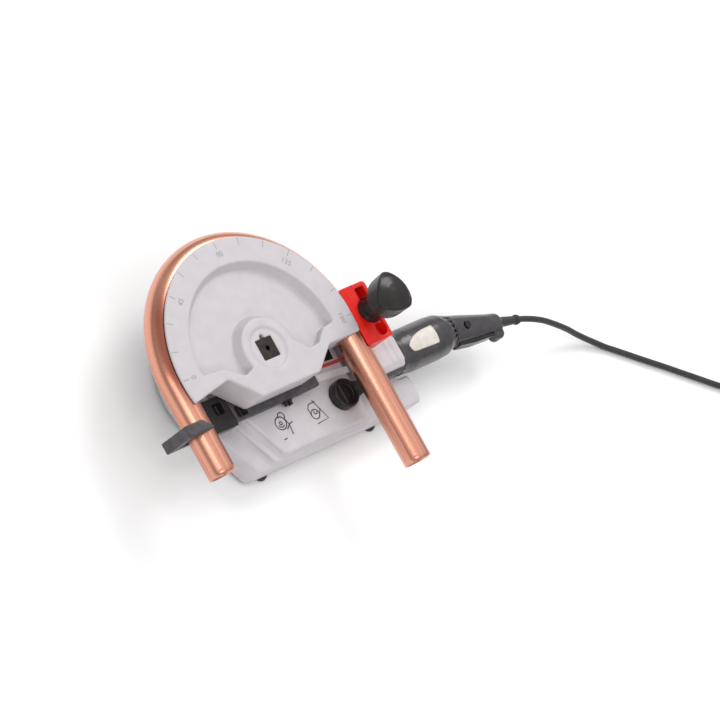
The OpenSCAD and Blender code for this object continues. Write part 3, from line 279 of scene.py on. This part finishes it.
def finish(name, dark, light, patch=120, tooth=1500, rough=(0.4, 0.55), bump=0.15, depth=0.15,
           metallic=0.0, specular=0.5, stretch=None, uv=False, coat=0.0, coat_rough=0.12):
    material = bpy.data.materials.new(name)
    material.use_nodes = True
    tree = material.node_tree
    shader = tree.nodes["Principled BSDF"]
    where = tree.nodes.new("ShaderNodeTexCoord").outputs["UV" if uv else "Object"]
    if stretch:
        mapping = tree.nodes.new("ShaderNodeMapping")
        mapping.inputs["Scale"].default_value = stretch
        tree.links.new(where, mapping.inputs["Vector"])
        where = mapping.outputs["Vector"]
    ramp = tree.nodes.new("ShaderNodeValToRGB")
    ramp.color_ramp.elements[0].position = ramp_dark
    ramp.color_ramp.elements[0].color = tone(dark)
    ramp.color_ramp.elements[1].position = ramp_light
    ramp.color_ramp.elements[1].color = tone(light)
    tree.links.new(noise(tree, where, patch, 4), ramp.inputs["Fac"])
    tree.links.new(ramp.outputs["Color"], shader.inputs["Base Color"])
    fine = noise(tree, where, tooth, 2)
    tree.links.new(spread(tree, fine, *rough), shader.inputs["Roughness"])
    relief = tree.nodes.new("ShaderNodeBump")
    relief.inputs["Strength"].default_value = bump
    relief.inputs["Distance"].default_value = depth * MM
    tree.links.new(fine, relief.inputs["Height"])
    tree.links.new(relief.outputs["Normal"], shader.inputs["Normal"])
    shader.inputs["Metallic"].default_value = metallic
    shader.inputs["Specular IOR Level"].default_value = specular
    shader.inputs["Coat Weight"].default_value = coat
    shader.inputs["Coat Roughness"].default_value = coat_rough
    return material


finishes = {
    "casting_grey": finish("painted_casting", (195, 190, 194), (202, 197, 201), 60, 900,
                           (0.42, 0.58), 0.22),
    "former_grey": finish("blasted_former", (191, 186, 190), (197, 192, 196), 60, 1300,
                          (0.42, 0.55), 0.2),
    "signal_red": finish("red_moulding", (220, 24, 16), (236, 36, 24), 80, 1100,
                         (0.3, 0.42), 0.12, specular=0.3),
    "shell_black": finish("grey_moulding", (54, 51, 54), (66, 63, 66), 90, 1600,
                          (0.2, 0.32), 0.16),
    "knob_black": finish("black_moulding", (31, 27, 28), (43, 38, 38), 70, 1400,
                         (0.2, 0.3), 0.05, specular=0.3),
    "steel": finish("bright_steel", (150, 151, 155), (190, 191, 195), 220, 2500,
                    (0.22, 0.38), 0.08, metallic=1),
    "dark_steel": finish("browned_steel", (62, 59, 62), (80, 77, 81), 130, 1500,
                         (0.4, 0.55), 0.2, metallic=0.3),
    "bronze": finish("gear_bronze", (158, 112, 58), (190, 142, 82), 200, 2200,
                     (0.25, 0.4), 0.1, metallic=1),
    "carbon": finish("pressed_carbon", (40, 40, 42), (54, 54, 56), 300, 2600,
                     (0.5, 0.65), 0.2),
    "rubber": finish("cord_rubber", (38, 38, 41), (50, 50, 53), 110, 1700,
                     (0.42, 0.58), 0.2),
    "copper": finish("winding_copper", (206, 128, 98), (232, 158, 128), 180, 1800,
                     (0.25, 0.4), 0.05, metallic=1),
}
slots = {s["node"]: s["material_slot"] for s in frame["record"]["subparts"]}
print("finishes", len(finishes), "slots", len(slots))

# %% [markdown]
# The floor gets a matt white paint of its own, and every CAD node takes the finish of its slot, also
# the gears, bearings and windings that only show when the housing is opened. The plug's pins are
# plated.

# %% Paint the floor and the frame
floor_paint = finish("floor_paint", (251, 251, 251), (254, 254, 254), 3, 400, (0.8, 0.9), 0.02)
floor_mesh.materials.append(floor_paint)


def dress(piece, material):
    piece.data.materials.clear()
    piece.data.materials.append(material)


for name, piece in nodes.items():
    dress(piece, finishes[slots[name]])
dress(mains_cord, finishes["rubber"])
dress(nodes["plug_pins"], finish("plated_brass", (172, 168, 158), (200, 196, 186), 240, 2200,
                                 (0.18, 0.3), 0.05, metallic=1))
print("painted", len(nodes), "nodes")

# %% [markdown]
# The copper tube is drawn, so its surface carries fine streaks along its length. A sweep with its own
# UV map shows them round the bend, where a CAD cylinder and a torus would break them at their seam.

# %% Copper tube
tube_r, tube_wall, bend_r, tube_z = 17.5, 1.5, 140.0, 94.5
leg_front, leg_step = 196, 7
leg_hook, hook_steps, bend_steps = 114, 16, 90
leg = [Vector((bend_r, y, tube_z)) for y in range(-leg_front, 0, leg_step)]
bend = [Vector((bend_r * math.cos(a), bend_r * math.sin(a), tube_z))
        for a in (math.pi * i / bend_steps for i in range(bend_steps + 1))]
hook_leg = [Vector((-bend_r, -leg_hook * i / hook_steps, tube_z)) for i in range(1, hook_steps + 1)]
tube_path = [p * MM for p in leg + bend + hook_leg]
bent_tube = swept("bent_tube", tube_path, tube_r * MM, sides=64, bore=(tube_r - tube_wall) * MM)
drawn_copper = finish("drawn_copper", (202, 133, 108), (232, 169, 146), 1, 40,
                      (0.22, 0.36), 0.03, 0.03, metallic=1, stretch=(40, 3, 1), uv=True, coat=0.35)
dress(bent_tube, drawn_copper)
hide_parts("copper_tube")
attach(bent_tube, home["copper_tube"])
print("tube faces", len(bent_tube.data.polygons))

# %% [markdown]
# A dark band is painted on the copper along the last part of the bend: a painted reflection of the shade
# by the former's lip. The band is a window on the tube's own UV map: four soft steps bound it round the
# section and along the length, and their product mixes a brown into the colour.

# %% Painted dark reflection on the copper
tube_length = (leg_front + leg_hook + math.pi * bend_r) * MM
# painted reflection: this brown stands for the shade mirrored in the copper near the former's lip
painted_reflection_brown = (148, 84, 66)
round_from, round_full, round_fading, round_to = 0.70, 0.76, 0.83, 0.95
along_from, along_full, along_fading, along_to = (
    share * tube_length for share in (0.66, 0.74, 0.82, 0.90))


def rubbed_band(material, window):
    tree = material.node_tree
    split = tree.nodes.new("ShaderNodeSeparateXYZ")
    tree.links.new(tree.nodes.new("ShaderNodeTexCoord").outputs["UV"], split.inputs["Vector"])
    share = None
    for axis, start, end in window:
        step = tree.nodes.new("ShaderNodeMapRange")
        step.interpolation_type = "SMOOTHSTEP"
        step.inputs["From Min"].default_value = start
        step.inputs["From Max"].default_value = end
        tree.links.new(split.outputs[axis], step.inputs["Value"])
        if share is None:
            share = step.outputs["Result"]
        else:
            product = tree.nodes.new("ShaderNodeMath")
            product.operation = "MULTIPLY"
            tree.links.new(share, product.inputs[0])
            tree.links.new(step.outputs["Result"], product.inputs[1])
            share = product.outputs["Value"]
    shader = tree.nodes["Principled BSDF"]
    mix = tree.nodes.new("ShaderNodeMix")
    mix.data_type = "RGBA"
    mix.inputs["B"].default_value = tone(painted_reflection_brown)
    tree.links.new(share, mix.inputs["Factor"])
    tree.links.new(shader.inputs["Base Color"].links[0].from_socket, mix.inputs["A"])
    tree.links.new(mix.outputs["Result"], shader.inputs["Base Color"])


# paint the dark reflection band into the copper's colour
rubbed_band(drawn_copper, (("X", round_from, round_full), ("X", round_to, round_fading),
                           ("Y", along_from, along_full), ("Y", along_to, along_fading)))
print("rubbed over", round(along_to - along_from, 3), "m of", round(tube_length, 3), "m")

# %% [markdown]
# Castings and mouldings have no sharp edge anywhere. A voxel remesh followed by smoothing rounds each
# edge and fills each corner as a foundry does. Points that moved less than 0.15 of a voxel go back
# onto the CAD surface and those that moved more than 0.4 stay, so that the flats stay flat and only
# the edges are soft.

# %% Cast pieces
weld = 2e-6
free_from, free_over = 0.6, 0.25


def baked(piece):
    made = bpy.data.meshes.new_from_object(piece.evaluated_get(bpy.context.evaluated_depsgraph_get()))
    piece.modifiers.clear()
    old = piece.data
    piece.data = made
    bpy.data.meshes.remove(old)


def merged(node):
    bm = bmesh.new()
    bm.from_mesh(nodes[node].data)
    bmesh.ops.remove_doubles(bm, verts=bm.verts, dist=weld)
    return bm


def cast_piece(node, voxel, passes, most=120000):
    bm = merged(node)
    surface = BVHTree.FromBMesh(bm)
    mesh = bpy.data.meshes.new(node + "_cast")
    bm.to_mesh(mesh)
    bm.free()
    piece = add_piece(node + "_cast", mesh)
    skin = piece.modifiers.new("skin", "REMESH")
    skin.mode = "VOXEL"
    skin.voxel_size = voxel * MM
    soften = piece.modifiers.new("soften", "SMOOTH")
    soften.factor = 0.5
    soften.iterations = passes
    baked(piece)
    for v in piece.data.vertices:
        near, _, _, gap = surface.find_nearest(v.co)
        v.co = v.co.lerp(near, 1 - eased(gap / (voxel * MM) / free_over - free_from))
    count = sum(len(p.vertices) - 2 for p in piece.data.polygons)
    if count > most:
        thin = piece.modifiers.new("thin", "DECIMATE")
        thin.ratio = most / count
        baked(piece)
    piece.data.shade_smooth()
    dress(piece, finishes[slots[node]])
    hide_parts(node)
    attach(piece, home[node])
    print(node, "cast", count, "triangles")
    return piece


voxels_and_passes = {
    "gear_housing": (1.5, 14), "bending_former": (1.2, 8), "former_holder": (0.8, 6),
    "back_former": (0.8, 5), "clamp_knob": (0.8, 16), "selector_knob": (0.6, 8),
    "motor_housing": (0.9, 14), "grip_upper": (0.8, 12), "grip_lower": (0.8, 12),
    "trigger_paddle": (0.6, 8), "tube_hook": (0.8, 5), "hook_bracket": (0.8, 5),
    "hook_arm": (0.8, 4), "side_cover": (0.8, 4), "plug_body": (0.8, 8), "cord_tie": (0.5, 3)}
castings = {node: cast_piece(node, *sizes) for node, sizes in voxels_and_passes.items()}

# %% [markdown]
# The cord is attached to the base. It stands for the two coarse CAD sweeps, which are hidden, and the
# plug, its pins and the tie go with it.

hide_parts("cord", "cord_coil")
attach(mains_cord, "base")
print("cord leaves at", [round(x, 1) for x in cord_exit])

# %% [markdown]
# The square end of the drive shaft shows in the former's hole, oiled and browned by use, so it gets
# a darker steel of its own.

# %% Oiled shaft
dress(nodes["drive_shaft"], finish("oiled_steel", (32, 27, 26), (56, 46, 41), 160, 1800,
                                   (0.35, 0.5), 0.1, metallic=0.6))
print("shaft", nodes["drive_shaft"].data.materials[0].name)

# %% [markdown]
# Degree marks run round the former's rim every 15 degrees. A Geometry Nodes tree makes them: one
# small bar is moved out to the rim, and each of its copies is turned about the drive axis by its own
# index times the step. Every size is a named input, so the scale can be redrawn by changing numbers.

# %% Degree marks
ink_grey = finish("faint_grey_print", (146, 141, 146), (158, 153, 158), 300, 1800, (0.5, 0.65), 0.05)
former_top, print_lift = 116.0, 0.03
scale_zero, scale_step, scale_end = 179, 15, 180


def degree_marks():
    tree = bpy.data.node_groups.new("degree_marks", "GeometryNodeTree")
    inputs = {}
    for name, kind in (("Marks", "Int"), ("Start", "Float"), ("Step", "Float"), ("Radius", "Float"),
                       ("Height", "Float"), ("Bar", "Vector"), ("Print", "Material")):
        inputs[name] = tree.interface.new_socket(name, in_out="INPUT", socket_type="NodeSocket" + kind)
    tree.interface.new_socket("Geometry", in_out="OUTPUT", socket_type="NodeSocketGeometry")
    make, join = tree.nodes.new, tree.links.new
    given = make("NodeGroupInput").outputs
    points, bar = make("GeometryNodePoints"), make("GeometryNodeMeshCube")
    place, move = make("ShaderNodeCombineXYZ"), make("GeometryNodeTransform")
    turn, angle = make("ShaderNodeMath"), make("ShaderNodeCombineXYZ")
    copies, real = make("GeometryNodeInstanceOnPoints"), make("GeometryNodeRealizeInstances")
    paint, result = make("GeometryNodeSetMaterial"), make("NodeGroupOutput")
    turn.operation = "MULTIPLY_ADD"
    join(given["Marks"], points.inputs["Count"])
    join(given["Bar"], bar.inputs["Size"])
    join(given["Radius"], place.inputs["X"])
    join(given["Height"], place.inputs["Z"])
    join(bar.outputs["Mesh"], move.inputs["Geometry"])
    join(place.outputs["Vector"], move.inputs["Translation"])
    join(make("GeometryNodeInputIndex").outputs["Index"], turn.inputs[0])
    join(given["Step"], turn.inputs[1])
    join(given["Start"], turn.inputs[2])
    join(turn.outputs["Value"], angle.inputs["Z"])
    join(points.outputs["Points"], copies.inputs["Points"])
    join(move.outputs["Geometry"], copies.inputs["Instance"])
    join(angle.outputs["Vector"], copies.inputs["Rotation"])
    join(copies.outputs["Instances"], real.inputs["Geometry"])
    join(real.outputs["Geometry"], paint.inputs["Geometry"])
    join(given["Print"], paint.inputs["Material"])
    join(paint.outputs["Geometry"], result.inputs["Geometry"])
    return tree, inputs


tree, inputs = degree_marks()
marks = add_piece("degree_marks", bpy.data.meshes.new("degree_marks"))
scale_marks = marks.modifiers.new("scale", "NODES")
scale_marks.node_group = tree
for name, value in (("Marks", scale_end // scale_step + 1), ("Start", math.radians(scale_zero)),
                    ("Step", math.radians(-scale_step)), ("Radius", 0.1375),
                    ("Height", (former_top + print_lift) * MM), ("Bar", (0.009, 0.0009, 0.00014)),
                    ("Print", ink_grey)):
    scale_marks[inputs[name].identifier] = value
baked(marks)
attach(marks, home["bending_former"])
print("degree marks", len(marks.data.polygons) // 6)

# %% [markdown]
# Every third mark has its number, which reads from the drive axis outwards. Text is turned into a
# mesh first, and then its points are moved to their place on the rim.

# %% Numbers on the scale
number_r, number_size, number_half_thick = 125, 10, 0.05


def number(text, polar):
    curve = bpy.data.curves.new("number_" + text, "FONT")
    curve.body = text
    curve.size = number_size * MM
    curve.align_x = "CENTER"
    curve.align_y = "CENTER"
    curve.extrude = number_half_thick * MM
    piece = bpy.data.objects.new("number_" + text, curve)
    scene.collection.objects.link(piece)
    mesh = bpy.data.meshes.new_from_object(piece.evaluated_get(bpy.context.evaluated_depsgraph_get()))
    bpy.data.objects.remove(piece)
    a = math.radians(polar)
    place = Vector((number_r * math.cos(a), number_r * math.sin(a), former_top + 2 * print_lift)) * MM
    mesh.transform(Matrix.Translation(place) @ Matrix.Rotation(a - math.pi / 2, 4, "Z"))
    piece = add_piece("number_" + text, mesh)
    dress(piece, ink_grey)
    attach(piece, home["bending_former"])


degrees = range(0, scale_end + 1, 3 * scale_step)
for degree in degrees:
    number(str(degree), scale_zero - degree)
print("numbers on the rim:", len(degrees))

# %% [markdown]
# The deck carries two line drawings that show how a tube is laid in, a plain red stripe and a blank
# white strip. Each printed line is a flat ribbon a tenth of a millimetre thick that follows its stroke.

# %% Printed lines on the deck
ink_black = finish("black_print", (66, 63, 68), (84, 80, 86), 400, 1900, (0.5, 0.65), 0.05)
deck_z, sunk = 55.0, 0.02
print_z = deck_z - sunk


def ring(x, y, r, start=0, end=360):
    steps = max(6, int(abs(end - start) / 12))
    turns = [math.radians(start + (end - start) * i / steps) for i in range(steps + 1)]
    return [(x + r * math.cos(a), y + r * math.sin(a)) for a in turns]


def ribbon(name, strokes, width, z, thick=0.12):
    bm = bmesh.new()
    for stroke in strokes:
        line = [Vector((x, y, 0)) for x, y in stroke]
        closed = (line[0] - line[-1]).length < 0.01
        line = line[:-1] if closed else line
        rows = []
        for i, p in enumerate(line):
            ahead_of = line[(i + 1) % len(line)] if closed or i + 1 < len(line) else p
            behind = line[i - 1] if closed or i else p
            way = (ahead_of - behind).normalized()
            side = Vector((-way.y, way.x, 0)) * width / 2
            rows.append([bm.verts.new((q + Vector((0, 0, h))) * MM) for q, h in (
                (p + side, z), (p - side, z), (p - side, z + thick), (p + side, z + thick))])
        for a, b in zip(rows, rows[1:] + rows[:1] if closed else rows[1:]):
            for j in range(4):
                bm.faces.new((a[j], a[(j + 1) % 4], b[(j + 1) % 4], b[j]))
        if not closed:
            bm.faces.new(rows[0][::-1])
            bm.faces.new(rows[-1])
    bmesh.ops.recalc_face_normals(bm, faces=bm.faces)
    mesh = bpy.data.meshes.new(name)
    bm.to_mesh(mesh)
    bm.free()
    return add_piece(name, mesh)


def printed(piece, ink, body="base"):
    dress(piece, ink)
    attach(piece, body)


printed(ribbon("drawing_of_winding", [
    ring(11.5, -81, 8.3), ring(11.5, -81, 2), ring(11.5, -81, 5, 200, 320), ring(17, -73.5, 5, -60, 190),
    [(20, -78), (22.5, -86), (21, -99)], [(16.5, -91), (22.5, -86), (29, -84.5)],
    [(4, -101), (9.5, -100.5)]], 1.6, print_z), ink_black)
printed(ribbon("drawing_of_clamping", [
    ring(67, -88, 6.2), ring(68.5, -85.5, 2.4, 120, 380),
    [(60.8, -88), (60, -79), (64, -74), (75.5, -73.5)],
    [(72, -70.5), (82.8, -98.5), (63, -100)], [(72, -91.5), (78, -83.5)]], 1.5, print_z), ink_black)
print("drawings on the deck: 2")

# %% [markdown]
# Labels are thin plates. The deck's are flat strips. Beside them lies a black strip that is no label but
# painted
# shadow: it darkens the deck in the gap under the former. The one on the motor has a rounded outline and
# is
# laid over the barrel: its points take their height from the barrel's radius, and it stays blank.

# %% Labels and a painted shadow
label_red = finish("red_print", (200, 70, 74), (210, 84, 86), 200, 1500, (0.4, 0.5), 0.04)
label_white = finish("white_film", (226, 222, 224), (234, 230, 232), 160, 1500, (0.35, 0.45), 0.04)
label_beige = finish("brushed_film", (206, 199, 190), (222, 216, 208), 140, 1200, (0.3, 0.42), 0.05)
# painted shadow: a near-black finish for the shade in the gap under the former
painted_shadow_black = finish("painted_shadow_pad", (22, 22, 24), (32, 32, 34), 180, 1500, (0.45, 0.6), 0.1)
printed(ribbon("red_stripe", [[(113, -38.4), (156, -40.5)]], 4.5, print_z), label_red)
printed(ribbon("white_strip", [[(97, -49.3), (149.5, -54.2)]], 8.5, print_z), label_white)
# painted shadow: a black strip on the deck where the former shades it
printed(ribbon("painted_shadow_strip", [[(97, -22), (136, -24)]], 22, print_z, 0.6), painted_shadow_black)


def between(table, x):
    for (x0, y0), (x1, y1) in zip(table, table[1:]):
        if x <= x1:
            return y0 + (y1 - y0) * max(0.0, x - x0) / (x1 - x0)
    return table[-1][1]


barrel = ((226, 26), (236, 26), (250, 28), (300, 28), (314, 27), (332, 21))
near_edge = ((240.7, -61), (241.5, -65), (244.5, -69.2), (249, -70.4), (288, -72), (289.4, -71.5),
             (290, -70.4))
far_edge = ((240.7, -60), (244.5, -56.4), (252, -52.2), (262, -49.4), (272, -48), (289, -47.6),
            (290, -48.8))
label_start, label_end, label_lift, film = 240.8, 289.9, 0.35, 0.5


def motor_label(columns=40, lanes=16):
    bm = bmesh.new()
    rows = []
    for i in range(columns + 1):
        x = label_start + (label_end - label_start) * i / columns
        low, high = between(near_edge, x), between(far_edge, x)
        rows.append([])
        for j in range(lanes + 1):
            y = low + (high - low) * j / lanes
            rise = math.sqrt(between(barrel, x) ** 2 - (y - motor_y) ** 2)
            rows[-1].append(bm.verts.new(Vector((x, y, motor_z + rise + label_lift)) * MM))
    for a, b in zip(rows, rows[1:]):
        for j in range(lanes):
            bm.faces.new((a[j], b[j], b[j + 1], a[j + 1])).smooth = True
    mesh = bpy.data.meshes.new("motor_label")
    bm.to_mesh(mesh)
    bm.free()
    piece = add_piece("motor_label", mesh)
    depth = piece.modifiers.new("film", "SOLIDIFY")
    depth.thickness = film * MM
    depth.offset = -1
    baked(piece)
    return piece


printed(motor_label(), label_beige)
print("labels: 4")

# %% [markdown]
# A small black spring clip sits on the front of the arm. It is a bent strip: a plate on the arm, a
# step out and a short tongue, with every edge rounded by a bevel.

# %% Clip on the arm


def boxes(name, sizes, edge):
    bm = bmesh.new()
    for x0, x1, y0, y1, z0, z1 in sizes:
        made = bmesh.ops.create_cube(bm, size=1)["verts"]
        for v in made:
            v.co = Vector((x0 + (x1 - x0) * (v.co.x + 0.5), y0 + (y1 - y0) * (v.co.y + 0.5),
                           z0 + (z1 - z0) * (v.co.z + 0.5))) * MM
    mesh = bpy.data.meshes.new(name)
    bm.to_mesh(mesh)
    bm.free()
    piece = add_piece(name, mesh)
    bevel = piece.modifiers.new("edge", "BEVEL")
    bevel.width = edge * MM
    bevel.segments = 3
    baked(piece)
    return piece


clip = boxes("arm_clip", [(25, 37, -61.6, -59.6, 58, 66), (26, 30.5, -66, -60.6, 59, 63.5),
                          (32, 36, -66.8, -60.6, 58.6, 65)], 0.7)
printed(clip, finishes["knob_black"], home["hook_arm"])
print("clip faces", len(clip.data.polygons))
